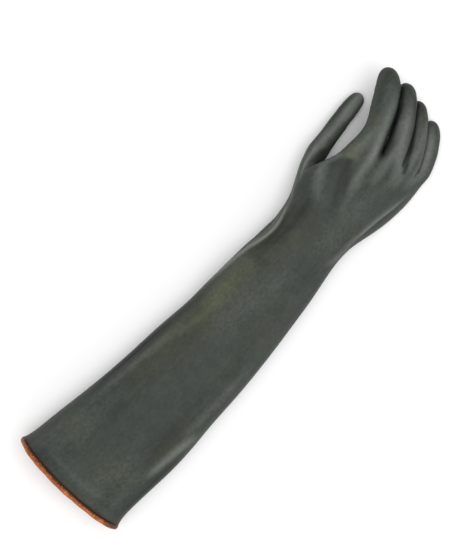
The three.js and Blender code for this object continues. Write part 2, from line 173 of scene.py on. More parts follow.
# Bands of the upper side painted paler or, less than 0, darker than the rest: painted highlights
# on lit tops, crests and the thumb, painted shade in the gaps, hollows and along the edges, and
# a little powdery dust. Change, half width and line, as for the folds, and the share of the line
# over which it fades at each end, where it isn't a third.
BLOOM_AND_PAINTED_LIGHT = {
    "thumb_back": (2.1, 6, [
        (450, 61), (470, 62.5), (490, 64.5), (508, 64.5), (524, 65.5), (545, 68), (575, 71)]),
    "thumb_tip": (2.4, 5, [(516, 63), (534, 65.5), (550, 67.5), (575, 71)]),
    "thumb_root_line": (1.2, 2.4, [(438, 53), (449, 58.5), (456, 61), (469, 63.8), (484, 65)], 0.2),
    "thumb_outer_side": (-0.8, 4.5, [
        (452, 70), (470, 73), (490, 75), (515, 76.5), (540, 78.5), (562, 80)]),
    "thumb_base_edge": (2.4, 1.3, [
        (408, 42), (424, 49.5), (441, 60), (453, 66), (464, 70), (476, 72.5)], 0.2),
    "thumb_root": (-0.95, 4, [(459, 53), (470, 56.5), (486, 58)]),
    "over_the_thumb": (1.0, 3.5, [
        (446, 33), (458, 43), (472, 45.5), (485, 40.5), (496, 33), (500, 24), (502, 12)]),
    "thumb_base": (0.65, 6, [(430, 24), (444, 32), (460, 41), (478, 43)]),
    "thumb_groove": (-0.4, 6, [(506, 38), (488, 28), (470, 16), (452, 6)]),
    "beside_the_groove": (0.4, 4, [(428, -20), (444, -10), (462, 0), (480, -3), (504, -6)]),
    "index_back": (0.6, 7, [
        (486, 30), (506, 30), (530, 25), (552, 27), (572, 38), (590, 50), (602, 60)]),
    "index_knuckle": (0.7, 4.5, [(462, 2), (478, 4), (492, 7), (506, 9), (520, 11), (534, 17)]),
    "index_far_side": (1.3, 4, [
        (494, 1), (508, 6), (522, 12), (535, 18), (557, 26.5), (580, 37), (597, 49)]),
    "index_middle_gap": (-1.3, 3.2, [
        (516, 2), (526, 6), (536, 9.5), (548, 14), (562, 18.8), (576, 25), (588, 33.5), (598, 43),
        (606, 52)], 0.12),
    "middle_thumb_side": (0.6, 3, [(540, 0.5), (552, 6.5), (564, 12), (576, 20)]),
    "middle_back": (0.75, 7, [(494, -7), (518, -7.5), (540, -5), (560, 4), (578, 17), (598, 34)]),
    "middle_far_side": (1.5, 4.6, [
        (504, -31), (522, -21), (534, -14.5), (546, -7.5), (557, -1), (571, 8), (587, 18),
        (602, 31)]),
    "middle_ring_gap": (-1.6, 3, [
        (522, -31.6), (531, -27.6), (541, -22.8), (550, -18), (562, -10), (576, 0), (590, 11),
        (604, 24)], 0.08),
    "ring_back": (1.0, 6, [(505, -24), (536, -25), (556, -17), (574, -5), (596, 12)]),
    "ring_far_side": (1.2, 3.6, [
        (496, -31), (508, -32.3), (524, -31.7), (540, -29.5), (557, -24.5), (571, -16.6),
        (584, -9.5), (596, 0)]),
    "little_back": (1.3, 5, [(505, -43), (530, -43), (552, -37.5), (570, -28), (592, -10)]),
    "little_far_side": (1.4, 5, [
        (520, -49), (538, -46.5), (553, -41), (568, -33), (582, -22.5), (594, -8)]),
    "hand_middle": (0.34, 13, [(376, -22), (410, -20), (450, -18), (500, -16)]),
    "far_hand": (0.35, 3.4, [
        (414, -40), (436, -41.5), (456, -42.8), (475, -45), (494, -48), (515, -50)]),
    "far_hand_edge": (-0.35, 2.4, [(430, -46.5), (456, -48.5), (480, -51), (500, -53), (515, -54)]),
    "over_the_wrist": (-0.2, 12, [(372, 4), (400, 5), (424, 9), (438, 10)]),
    # Painted shade over the wrist.
    "painted_wrist_shade": (-0.4, 9, [(330, 27), (352, 25), (378, 23), (404, 27), (424, 27), (444, 20)]),
    "wide_of_the_wrist": (0.25, 16, [(240, 26), (275, 28), (310, 30), (335, 24)]),
    "across_the_forearm": (0.3, 6, [(322, 42), (327, 30), (324, 18), (317, 4)]),
    "wrist_fold_crest": (1.3, 1.5, [
        (240, 47), (276, 45.6), (297, 44.6), (325, 42), (339, 39.9), (352, 37), (366, 34.7),
        (381, 34.4), (396, 38.4), (409, 42.6), (422, 47)]),
    "wrist_outer_line": (1.6, 1.2, [
        (322, 43.5), (336, 42.4), (350, 41), (362, 39.8), (376, 39.2), (388, 40.8), (398, 43.6),
        (406, 46)]),
    "far_wrist": (0.2, 2.6, [(384, -41), (404, -43), (428, -42)]),
    "thumb_side_edge": (-0.6, 5, [
        (60, 58), (100, 54), (150, 51), (212, 46.5), (260, 42), (306, 40)]),
    "thumb_side_light": (0.35, 4, [
        (110, 43), (160, 39), (200, 33), (230, 26), (262, 20), (300, 16)]),
    "sleeve_thumb_side": (0.22, 12, [(-10, 16), (40, 30), (90, 36), (150, 30)]),
    "forearm_middle": (0.26, 16, [(210, 6), (260, 0), (330, -8), (380, -20)]),
    "near_the_cuff": (0.12, 14, [(14, 50), (6, 25), (8, -10), (14, -50)]),
    "cuff_thumb_side": (0.35, 12, [(-6, 52), (20, 48), (60, 40), (90, 36)]),
    "cuff_far_side": (0.28, 16, [(-20, -30), (20, -25), (60, -35), (90, -52)]),
    "beside_the_bulge": (0.3, 8, [(2, -54), (20, -54), (40, -54), (60, -53), (80, -53)]),
    "far_bulge": (1.15, 3.3, [
        (58, -60), (72, -60.6), (86, -61.4), (102, -62.4), (118, -64), (132, -66.5), (150, -71)]),
    "far_line": (0.45, 4.8, [(120, -58), (160, -60), (200, -60), (250, -57)]),
    "far_hollow": (-0.2, 8, [(40, -50), (80, -47), (120, -48), (160, -50)]),
    "far_edge": (-0.8, 4.4, [(-6, -69), (20, -70), (60, -71), (100, -72.5), (136, -75)]),
}
# Creases of the palm's side, on plan.
PALM_CREASES = {
    "round_the_thumb": (-0.9, 2.0, [(508, 38), (488, 22), (466, 10), (440, 4)]),
    "across_the_palm": (-0.7, 2.0, [(506, 36), (500, 8), (490, -20), (476, -44)]),
    "under_the_fingers": (-0.7, 2.0, [(528, 14), (520, -8), (512, -30), (500, -58)]),
}
FINGER_JOINTS = (0.4, 0.7)  # shares of the way from the root to the tip
# Swelling of a joint, crease on its back and crease on the palm's side: height and half width, mm.
SWELL, BACK_CREASE, PALM_CREASE = (0.5, 6), (0.3, 1.5), (0.7, 1.8)
BACK_CREASE_OFF = 3  # each of the two creases on the back lies so far from the joint, mm

CREST_PAINTED_HIGHLIGHT, GROOVE_PAINTED_SHADE = 2.3, -0.6  # change of the paleness for each unit of a fold's sharpness: painted highlight on crests, painted shade in grooves
GAP_PAINTED_SHADE = -0.85  # painted shade where two fingers touch, as a share of the paleness
STEEP_PAINTED_SHADE, STEEP_FINGER_PAINTED_SHADE = 0.34, 0.1  # share of the paleness kept on a steep side, the rest taken away as painted shade
# Patches of aged rubber: share in the middle, middle on plan, half length and half width, mm.
YELLOW_PATCHES = [(0.65, 280, 27, 60, 15), (0.35, 385, 10, 30, 10), (0.7, 499, 29, 11, 9),
                  (0.5, 541, 38, 10, 6), (0.3, 178, 30, 30, 10), (0.3, 110, -50, 30, 8)]

ROLL_WAVES = [(0.05, 3, 1), (0.03, 7, 0), (0.03, 17, 2)]  # size, number round the cuff, phase
BEAD_TURN = 290  # degrees of the bead's section
STAIN_AND_SHADE_END = 2.8  # radians round the bead where the brown staining and painted shade end
SIDE_STAIN_AND_SHADE = 0.3  # more brown staining and painted shade at the far side of the cuff


def unit(v):
    """Each vector divided by its own length."""
    return v / np.linalg.norm(v, axis=-1, keepdims=True)


def on_floor(points):
    """The points with every height under the floor raised to it."""
    return np.stack([points[..., 0], points[..., 1], np.maximum(points[..., 2], 0)], -1)


def ramp(value, low, high):
    """Smooth step from 0 at low to 1 at high: t t (3 - 2 t)."""
    t = np.clip((value - low) / (high - low), 0, 1)
    return t * t * (3 - 2 * t)


def spline(t):
    """Weights of four neighbouring control points on a uniform cubic spline at t from 0 to 1."""
    return np.stack([(1 - t) ** 3, 3 * t ** 3 - 6 * t ** 2 + 4,
                     -3 * t ** 3 + 3 * t ** 2 + 3 * t + 1, t ** 3], -1) / 6


def directions(roll, turn):
    """Sideways and upward unit vectors of sections rolled about X and then turned about Z."""
    r, h = np.radians(roll), np.radians(turn)
    side = np.stack([-np.sin(h) * np.cos(r), np.cos(h) * np.cos(r), np.sin(r) + 0 * h], -1)
    up = np.stack([np.sin(h) * np.sin(r), -np.cos(h) * np.sin(r), np.cos(r) + 0 * h], -1)
    return side, up


def section_rings(sections):
    """ROUND control points on each section: thumb side, nine above, far side, nine below.
    A point at share f of the half width has the height h (1 - |f|^e)^(1/e), less the palm's cup,
    which grows with the square of the distance from the middle."""
    x, y, z, a, up, down, roll, turn, arch, bow = sections.T[..., None]
    half = ROUND // 2 - 1
    over = SPAN * np.linspace(1, -1, half)
    share = np.concatenate([[1], over, [-1], -over])
    height = np.hstack([0 * up, np.repeat(up, half, 1), 0 * up, np.repeat(-down, half, 1)])
    f = share - arch * PALM_SKEW * (1 - share ** 2)
    across = f * a / RING_SHRINK
    lift = height * (1 - np.abs(f) ** EXPONENT) ** (1 / EXPONENT) - arch * PALM_ARCH * across ** 2
    side, above = directions(roll, turn)
    centre = np.stack([x + bow * f ** 2, y + 0 * f, z + 0 * f], -1)
    return on_floor(centre + side * across[..., None] + above * lift[..., None])


def finger_loops(root, roll, path):
    """Loops of LOOP control points square to the finger's path, two smaller loops that round
    the tip, and one point in front of it."""
    path = np.array(path, float)
    last, tip = path[-2], path[-1]
    reach = np.linalg.norm(tip[:3] - last[:3])
    t = 1 - TIP[:, :1] * tip[3] / reach
    ends = np.hstack([last[:3] + (tip[:3] - last[:3]) * t, TIP[:, 1:] * tip[3:]])
    stations = np.vstack([path[:-1], ends])
    centres = np.vstack([root.mean(0), stations[:, :3], tip[:3]])
    along = unit(centres[2:] - centres[:-2])
    side, _ = directions(roll, np.degrees(np.arctan2(along[:, 1], along[:, 0])))
    level = unit(side - along * (side * along).sum(-1, keepdims=True))
    upward = np.cross(along, level)
    angle = np.arange(LOOP)[:, None] * 2 * math.pi / LOOP
    wide = (stations[:, 3] / LOOP_SHRINK)[:, None, None]
    thick = (stations[:, 4] / LOOP_SHRINK)[:, None, None]
    loops = (stations[:, None, :3] + level[:, None] * wide * np.cos(angle)
             + upward[:, None] * thick * np.sin(angle))
    cap = tip[:3] + unit(tip[:3] - last[:3]) * TIP_CAP * tip[3]
    return on_floor(loops), cap


def bridge(loops):
    """Quads between neighbouring closed loops of point numbers, one loop to a row."""
    a, b = loops[:-1], loops[1:]
    return np.stack([a, np.roll(a, -1, 1), np.roll(b, -1, 1), b], -1).reshape(-1, 4)


def control_mesh():
    """Points and quads of the glove's control mesh: the rings of the sections, an opening for
    the thumb, a point in each web, and the loops of the fingers that start from them."""
    rings = section_rings(SECTIONS)
    points = [rings.reshape(-1, 3)]
    ring = np.arange(len(rings) * ROUND).reshape(-1, ROUND)
    quads = bridge(ring).reshape(-1, ROUND, 4)
    open_rows, open_columns = [THUMB_ROW - 1, THUMB_ROW], [THUMB_COLUMN - 1, THUMB_COLUMN]
    kept = np.ones(quads.shape[:2], bool)
    kept[np.ix_(open_rows, open_columns)] = False
    quads = [quads[kept]]
    web = [ring.size, ring.size + 1, ring.size + 2]
    over, under, ahead = np.array(WEBS).T
    heading = math.radians(SECTIONS[-1, 7])
    onward = ahead[:, None] * [math.cos(heading), math.sin(heading), 0]
    points.append((rings[-1, over] + rings[-1, under]) / 2 + onward)
    around = [(-1, 0), (-1, 1), (0, 1), (1, 1), (1, 0), (1, -1), (0, -1), (-1, -1)]
    thumb_root = [ring[THUMB_ROW + row, (THUMB_COLUMN + k) % ROUND] for row, k in around]
    fingers = [(roll, [web[int(k[1])] if isinstance(k, str) else ring[-1, k] for k in root], path)
               for roll, root, path in FINGERS.values()]
    for roll, root, path in [*fingers, (THUMB[0], thumb_root, THUMB[1])]:
        so_far = np.vstack(points)
        loops, cap = finger_loops(so_far[root], roll, path)
        numbers = len(so_far) + np.arange(len(loops) * LOOP).reshape(-1, LOOP)
        tip = np.full(4, len(so_far) + numbers.size)
        points += [loops.reshape(-1, 3), cap[None]]
        end = numbers[-1]
        quads += [bridge(np.vstack([root, numbers])),
                  np.stack([tip, end[::2], end[1::2], np.roll(end[::2], -1)], -1)]
    used, renumbered = np.unique(np.vstack(quads), return_inverse=True)
    return np.vstack(points)[used], renumbered.reshape(-1, 4)


def new_piece(name, points, faces, materials, which=None):
    """A smooth-shaded mesh object at the origin, from points in mm and arrays of faces."""
    mesh = bpy.data.meshes.new(name)
    corners = np.concatenate([np.full(len(array), array.shape[1]) for array in faces])
    loops = np.concatenate([array.ravel() for array in faces])
    mesh.vertices.add(len(points))
    mesh.vertices.foreach_set("co", ((points + SHIFT) * MM).astype(np.float32).ravel())
    mesh.loops.add(len(loops))
    mesh.loops.foreach_set("vertex_index", loops.astype(np.int32))
    mesh.polygons.add(len(corners))
    mesh.polygons.foreach_set("loop_start", (np.cumsum(corners) - corners).astype(np.int32))
    if which is not None:
        mesh.polygons.foreach_set("material_index", which.astype(np.int32))
    mesh.update(calc_edges=True)
    mesh.validate()
    mesh.shade_smooth()
    for material in materials:
        mesh.materials.append(material)
    piece = bpy.data.objects.new(name, mesh)
    bpy.context.scene.collection.objects.link(piece)
    return piece


def point_values(piece, name, values):
    """Stores one number for each point of a piece, for its material to read."""
    store = piece.data.attributes.new(name, "FLOAT", "POINT")
    store.data.foreach_set("value", values.astype(np.float32))


def limit_surface(points, quads, levels):
    """Points and quads of the smooth surface that ever finer subdivision tends to."""
    mesh = bpy.data.meshes.new("control")
    mesh.from_pydata(points.tolist(), [], quads.tolist())
    piece = bpy.data.objects.new("control", mesh)
    bpy.context.scene.collection.objects.link(piece)
    smooth = piece.modifiers.new("smooth", "SUBSURF")
    smooth.levels = smooth.render_levels = levels
    smooth.use_limit_surface = True
    smooth.boundary_smooth = "ALL"
    fine = piece.evaluated_get(bpy.context.evaluated_depsgraph_get()).to_mesh()
    fine_points = np.empty(len(fine.vertices) * 3)
    fine_quads = np.empty(len(fine.loops), np.int64)
    fine.vertices.foreach_get("co", fine_points)
    fine.loops.foreach_get("vertex_index", fine_quads)
    bpy.data.objects.remove(piece)
    bpy.data.meshes.remove(mesh)
    return fine_points.reshape(-1, 3), fine_quads.reshape(-1, 4)


def finer(rows, quads, triangles, chosen):
    """Splits each chosen quad in four, and fans the quads beside them out from their own middle,
    so that every edge keeps its two faces. Quads next to a triangle stay whole. New rows of
    point data are means of the old."""
    number = len(rows)
    sides = np.sort(np.stack([quads, np.roll(quads, -1, 1)], -1), -1)
    keys, side = np.unique(sides[..., 0] * number + sides[..., 1], return_inverse=True)
    side = side.reshape(-1, 4)
    shut = np.sort(np.stack([triangles, np.roll(triangles, -1, 1)], -1), -1)
    shut = np.isin(keys, shut[..., 0] * number + shut[..., 1])
    chosen = chosen & ~shut[side].any(1)
    split = np.zeros(len(keys), bool)
    split[side[chosen]] = True
    beside = ~chosen & split[side].any(1)
    opened = chosen | beside
    half = (number + np.cumsum(split) - 1)[side]
    middle = np.repeat(number + split.sum() + np.cumsum(opened)[:, None] - 1, 4, 1)
    rows = np.vstack([rows, (rows[keys[split] // number] + rows[keys[split] % number]) / 2,
                      rows[quads[opened]].mean(1)])
    after = np.roll(quads, -1, 1)
    cut, whole = split[side] & beside[:, None], ~split[side] & beside[:, None]
    four = np.stack([quads, half, middle, np.roll(half, 1, 1)], -1)[chosen].reshape(-1, 4)
    fans = [np.stack([quads, half, middle], -1)[cut], np.stack([half, after, middle], -1)[cut],
            np.stack([quads, after, middle], -1)[whole]]
    return rows, np.vstack([quads[~opened], four]), np.vstack([triangles, *fans])


def point_normals(points, quads):
    """Outward unit normal at each point: the sum of the normals of the quads round it."""
    p, q, r, s = (points[quads[:, i]] for i in range(4))
    normal = np.cross(r - p, s - q)
    total = np.zeros_like(points)
    for corner in range(4):
        np.add.at(total, quads[:, corner], normal)
    return unit(total)


def fold_bell(flat, half_width, line, fade=0.33):
    """Cross section of one fold at points of the plane: the bell exp(-(d / w)^2) of the distance
    d to a smooth curve near the line's points, rising over the first and last share fade."""
    line = np.array(line, float)
    ends = np.vstack([2 * line[:1] - line[1:2], line, 2 * line[-1:] - line[-2:-1]])
    t = np.linspace(0, len(line) - 1, 12 * len(line))
    start = np.minimum(t.astype(int), len(line) - 2)
    curve = (spline(t - start)[..., None] * ends[start[:, None] + np.arange(4)]).sum(1)
    # Beyond four half widths the bell is nothing.
    reach = np.ptp(curve, axis=0) / 2 + 4 * half_width
    near = (np.abs(flat - (curve.min(0) + curve.max(0)) / 2) < reach).all(1)
    gap = flat[near, None] - curve[:-1]
    step = np.diff(curve, axis=0)
    share = np.clip((gap * step).sum(-1) / (step ** 2).sum(-1), 0, 1)
    distance = np.linalg.norm(gap - share[..., None] * step, axis=-1)
    nearest = distance.argmin(1)
    row = np.arange(len(nearest))
    along = (nearest + share[row, nearest]) / len(step)
    bell = np.zeros(len(flat))
    bell[near] = (np.exp(-(distance[row, nearest] / half_width) ** 2)
                  * ramp(along, -0.02, fade) * ramp(1 - along, -0.02, fade))
    return bell


def seen_place(points):
    """Where an eye at EYE sees the points on the level SEEN_LEVEL."""
    reach = (EYE[2] - SEEN_LEVEL) / (EYE[2] - points[:, 2:3])
    return EYE[:2] + (points[:, :2] - EYE[:2]) * reach


def near_sharp_folds(points, normals, reach):
    """Whether points lie within reach of a fold less than 2 mm in half width. Those of the
    underside and the first 30 mm at the cuff never do."""
    seen = seen_place(points)
    nearest = np.max([fold_bell(seen, reach, line) for _, half_width, line in FOLDS.values()
                      if half_width < 2], axis=0)
    return (nearest > math.exp(-1)) & (normals[:, 2] > -0.4) & (points[:, 0] > 30)


def folds(points, normals):
    """Rise of all folds, mm, and their sharpness, the rise for each mm of half width. Those of
    the upper side go by their seen place, the palm's creases by their plan."""
    seen = seen_place(points)
    above, below = ramp(normals[:, 2], -0.45, 0.05), ramp(-normals[:, 2], 0.1, 0.5)
    rise, sharpness = np.zeros((2, len(points)))
    for flat, side, table in ((seen, above, FOLDS), (points[:, :2], below, PALM_CREASES)):
        for height, half_width, line in table.values():
            own = side * height * fold_bell(flat, half_width, line)
            rise += own
            sharpness += own / half_width
    return rise, sharpness


def joints(points, normals):
    """Each finger swells a little round its joints, and has a crease across the palm's side and
    two fine ones across the back, all bells h exp(-(d / w)^2) of the distance d along it."""
    total = np.zeros(len(points))
    paths = [path for _, _, path in FINGERS.values()] + [THUMB[1][1:]]
    for path in paths:
        path = np.array(path, float)
        steps = np.linalg.norm(np.diff(path[:, :3], axis=0), axis=1)
        length = np.concatenate([[0], np.cumsum(steps)])
        for share in FINGER_JOINTS:
            at = share * length[-1]
            centre, ahead = (np.array([np.interp(where, length, column) for column in path.T])
                             for where in (at, at + 3))
            direction = unit(ahead[:3] - centre[:3])
            along = (points - centre[:3]) @ direction
            away = np.linalg.norm(points - centre[:3] - along[:, None] * direction, axis=1)
            # The points of this finger, within 1.1 to 1.2 half widths of its middle line.
            own = ramp(-away, -1.2 * centre[3], -1.08 * centre[3])
            back = ramp(normals[:, 2], -0.2, 0.4)
            beside = np.abs(along) - BACK_CREASE_OFF
            total += own * (SWELL[0] * np.exp(-(along / SWELL[1]) ** 2)
                            - BACK_CREASE[0] * back * np.exp(-(beside / BACK_CREASE[1]) ** 2)
                            - PALM_CREASE[0] * (1 - back) * np.exp(-(along / PALM_CREASE[1]) ** 2))
    return total


def dents(points):
    """Soft unevenness of the limp sleeve: products of slow sines, up to 0.9 mm, dying out at the
    wrist and towards the cuff."""
    x, y, z = points.T
    wave = (0.5 * np.sin(x / 31 + 1.1) * np.sin(y / 24 + z / 30 + 0.5)
            + 0.4 * np.sin(x / 19 - y / 27 + 2.0) * np.cos(y / 16 + 0.4))
    return wave * ramp(-x, -430, -370) * ramp(x, 5, 50)


def between_fingers(points):
    """Nearness of a neighbouring finger, 1 where it touches and 0 from 2.4 mm away: the second
    smallest of the distances to the fingers' centre lines, each less the finger's half width."""
    clear = np.full((len(FINGERS), len(points)), 99.0)
    near = points[:, 0] > 500
    for row, (_, _, path) in enumerate(FINGERS.values()):
        path = np.array(path)
        share = np.linspace(0, len(path) - 1, 40)
        line = np.stack([np.interp(share, np.arange(len(path)), column) for column in path.T], -1)
        away = np.linalg.norm(points[near, None] - line[:, :3], axis=-1) - line[:, 3]
        clear[row, near] = away.min(1)
    return ramp(-np.sort(clear, axis=0)[1], -2.4, -0.3)


def bloom_and_painted_light(points, normals, sharpness):
    """How pale the rubber is, 1 where it lies level: partly powdery dust, mostly painted highlights
    and shade. The crest of a fold is a painted highlight, up to nearly four times as pale, the
    bottom of a groove painted shade, less than half as pale, and the bands of the table add their
    painted highlights and shade. Painted shade takes most of the sum in the gaps between fingers,
    and the steep sides, painted in shade, keep a third of it, on the fingers a tenth."""
    seen = seen_place(points)
    share = 1 + CREST_PAINTED_HIGHLIGHT * np.clip(sharpness, 0, 1.2) + GROOVE_PAINTED_SHADE * np.clip(-sharpness, 0, 1)
    for change, *band in BLOOM_AND_PAINTED_LIGHT.values():
        share += change * ramp(normals[:, 2], -0.2, 0.3) * fold_bell(seen, *band)
    # Painted shade in the gaps where two fingers touch.
    share *= 1 + GAP_PAINTED_SHADE * between_fingers(points)
    # The fingers from the knuckles on, beyond a slanting line that keeps the thumb out.
    fingers = ramp(points[:, 0], 495, 535) * ramp(-points[:, 1] + 0.75 * points[:, 0], 363, 368)
    # How level the place is. Steep sides are painted in shade, and on the fingers gentler slopes
    # are too.
    level = ramp(normals[:, 2], -0.1 + 0.3 * fingers, 0.75 - 0.05 * fingers)
    least = STEEP_PAINTED_SHADE + (STEEP_FINGER_PAINTED_SHADE - STEEP_PAINTED_SHADE) * fingers
    return np.clip(share, 0.15, 4) * (least + (1 - least) * level)


def yellowing(points):
    """Share of aged, yellower rubber: wide soft patches of the upper side, each a bell over an
    ellipse on plan."""
    x, y, z = points.T
    share = sum(most * np.exp(-((x - across) / long) ** 2 - ((y - up) / wide) ** 2)
                for most, across, up, long, wide in YELLOW_PATCHES)
    return np.clip(share, 0, 1) * ramp(z, 20, 50)


def glove_skin(black, orange):
    """The glove's skin: the smooth control mesh, finer near the sharp folds, moved out by its
    folds, joints and dents, and an inner skin one wall further in that follows half of them,
    joined at the cuff. The black outside has three values. Paleness is partly powdery dust and
    mostly painted highlights and shade. Yellowing is the second. Thin falls from 1 at the cuff's
    edge as exp(-distance / depth), 3 to 5 mm deep. The orange inside is neither stained brown nor
    painted with shade."""
    smooth, quads = limit_surface(*control_mesh(), SMOOTH_LEVELS)
    inside, outside, triangles = quads, quads, np.zeros((0, 3), int)
    coarse = len(smooth)
    rows = np.hstack([smooth, point_normals(smooth, quads)])
    for reach in FINER_WITHIN:
        middle = rows[outside].mean(1)
        chosen = near_sharp_folds(middle[:, :3], middle[:, 3:], reach)
        rows, outside, triangles = finer(rows, outside, triangles, chosen)
    smooth, normals = rows[:, :3], unit(rows[:, 3:])
    fold, sharpness = folds(smooth, normals)
    rise = (fold + joints(smooth, normals) + dents(smooth))[:, None]
    outer = on_floor(smooth + normals * rise)
    inner = (smooth + normals * (rise / 2 - WALL))[:coarse]
    count = len(outer)
    # The cuff's edge: sides of quads that no other quad has the other way round.
    edges = np.stack([inside, np.roll(inside, -1, 1)], -1).reshape(-1, 2)
    lone = ~np.isin(edges[:, 0] * count + edges[:, 1], edges[:, 1] * count + edges[:, 0])
    a, b = edges[lone].T
    rim = np.stack([b, a, a + count, b + count], -1)
    faces = [outside, inside[:, ::-1] + count, rim, triangles]
    which = np.repeat([0, 1, 0, 0], [len(array) for array in faces])
    piece = new_piece("glove_skin", np.vstack([outer, inner]), faces, [black, orange], which)
    # Distance to the cuff's edge, worked out for the first 20 mm alone.
    to_edge = np.full(count, 99.0)
    close = smooth[:, 0] < 20
    to_edge[close] = np.linalg.norm(smooth[close, None] - smooth[a], axis=-1).min(1)
    nothing = np.zeros(coarse)
    for name, values in (("bloom_and_painted_light", bloom_and_painted_light(smooth, normals, sharpness)),
                         ("yellowing", yellowing(smooth)),
                         ("thin", np.exp(-to_edge / (3.2 + 1.8 * (smooth[:, 1] / 70) ** 2))),
                         ("stain_and_shade", np.zeros(count))):
        point_values(piece, name, np.concatenate([values, nothing]))
    return piece


def sleeve(u, v):
    """Points of the sleeve's surface at u columns round from the thumb side and v rows up from
    the cuff: a uniform cubic spline both ways, with a row mirrored out past the cuff."""
    rings = section_rings(SECTIONS[:6])
    rings = np.vstack([2 * rings[:1] - rings[1:2], rings])
    row, column = np.floor(v).astype(int), np.floor(u).astype(int)
    down, round_ = spline(v - row), spline(u - column)
    pick = rings[row[:, None, None, None] + np.arange(4)[:, None],
                 (column[None, :, None, None] + np.arange(-1, 3)) % ROUND]
    return np.einsum("vi,uj,vuijk->vuk", down, round_, pick)


def rolled_edge(orange):
    """The rolled edge and the orange layer behind it, carried round the cuff. The section runs
    to the cuff along the inner face of the shell, out round a bead of BEAD_LONG by BEAD_THICK and
    back along the layer's own inner face. Slow sines of the way round make the roll up to a tenth
    thicker and thinner. Its stored value is 1 where the black ends. It falls evenly with the angle
    to none near the bead's outer end, and the far side of the cuff has more of it. The value is
    the black's brown staining and partly painted shade on the bead's side towards the sleeve."""
    u = np.arange(0, ROUND, 1 / EDGE_COLUMNS)
    v = np.linspace(0, LINING_REACH, LINING_ROWS)
    p = sleeve(u, v)
    ahead = sleeve(u, v + 0.01) - p
    round_ = sleeve((u + 0.01) % ROUND, v) - p
    normal = unit(np.cross(round_, ahead))
    flat_p, flat_n = p.reshape(-1, 3), normal.reshape(-1, 3)
    rise = (folds(flat_p, flat_n)[0] + dents(flat_p)).reshape(p.shape[:2])[..., None]
    p = p + normal * rise
    out = unit(p[0] - p[1])
    depth = WALL + GAP
    turn = u[:, None] * 2 * math.pi / ROUND
    uneven = 1 + sum(size * np.sin(number * turn + phase) for size, number, phase in ROLL_WAVES)
    angle = np.radians(np.linspace(0, BEAD_TURN, 30))[:, None, None]
    along = GAP + BEAD_LONG / 2 * (1 - np.cos(angle)) * (2 - uneven)
    height = BEAD_PROUD - BEAD_THICK / 2 * (1 - np.sin(angle)) * uneven
    corner = p[:1] + out * GAP - normal[:1] * depth
    bead = p[:1] + out * along + normal[:1] * height
    section = np.concatenate([(p - normal * depth)[::-1], corner, bead,
                              p - normal * (depth + LINING)])
    section = on_floor(section)
    # Brown staining of the black, partly painted shade on the bead's side towards the sleeve.
    stain_and_shade = np.zeros(section.shape[:2])
    stain_and_shade[LINING_ROWS] = 1
    stain_and_shade[LINING_ROWS + 1:-LINING_ROWS] = np.interp(angle[:, 0], [0, STAIN_AND_SHADE_END], [1, 0])
    to_far_side = -section[LINING_ROWS:-LINING_ROWS, :, 1]
    stain_and_shade[LINING_ROWS:-LINING_ROWS] += SIDE_STAIN_AND_SHADE * ramp(to_far_side, 58, 72)
    numbers = np.arange(stain_and_shade.size).reshape(stain_and_shade.shape)
    piece = new_piece("rolled_cuff_edge", section.reshape(-1, 3),
                      [bridge(np.vstack([numbers, numbers[:1]]))[:, ::-1]], [orange])
    point_values(piece, "stain_and_shade", stain_and_shade.ravel())
    return piece


def hex_colour(code):
    """Linear RGBA of an sRGB hex value."""
    srgb = np.array([int(code[i:i + 2], 16) for i in (1, 3, 5)]) / 255
    linear = np.where(srgb <= 0.04045, srgb / 12.92, ((srgb + 0.055) / 1.055) ** 2.4)
    return (*linear, 1.0)


def add_node(tree, kind, inputs=None, **settings):
    """Adds one shader node. Settings are its properties; an input is a value or a socket."""
    node = tree.nodes.new(kind)
    for name, value in settings.items():
        setattr(node, name, value)
    for name, value in (inputs or {}).items():
        if isinstance(value, bpy.types.NodeSocket):
            tree.links.new(value, node.inputs[name])
        else:
            node.inputs[name].default_value = value
    return node


def fresh_tree(material):
    """The emptied node tree of a new material."""
    material.use_nodes = True
    material.node_tree.nodes.clear()
    return material.node_tree


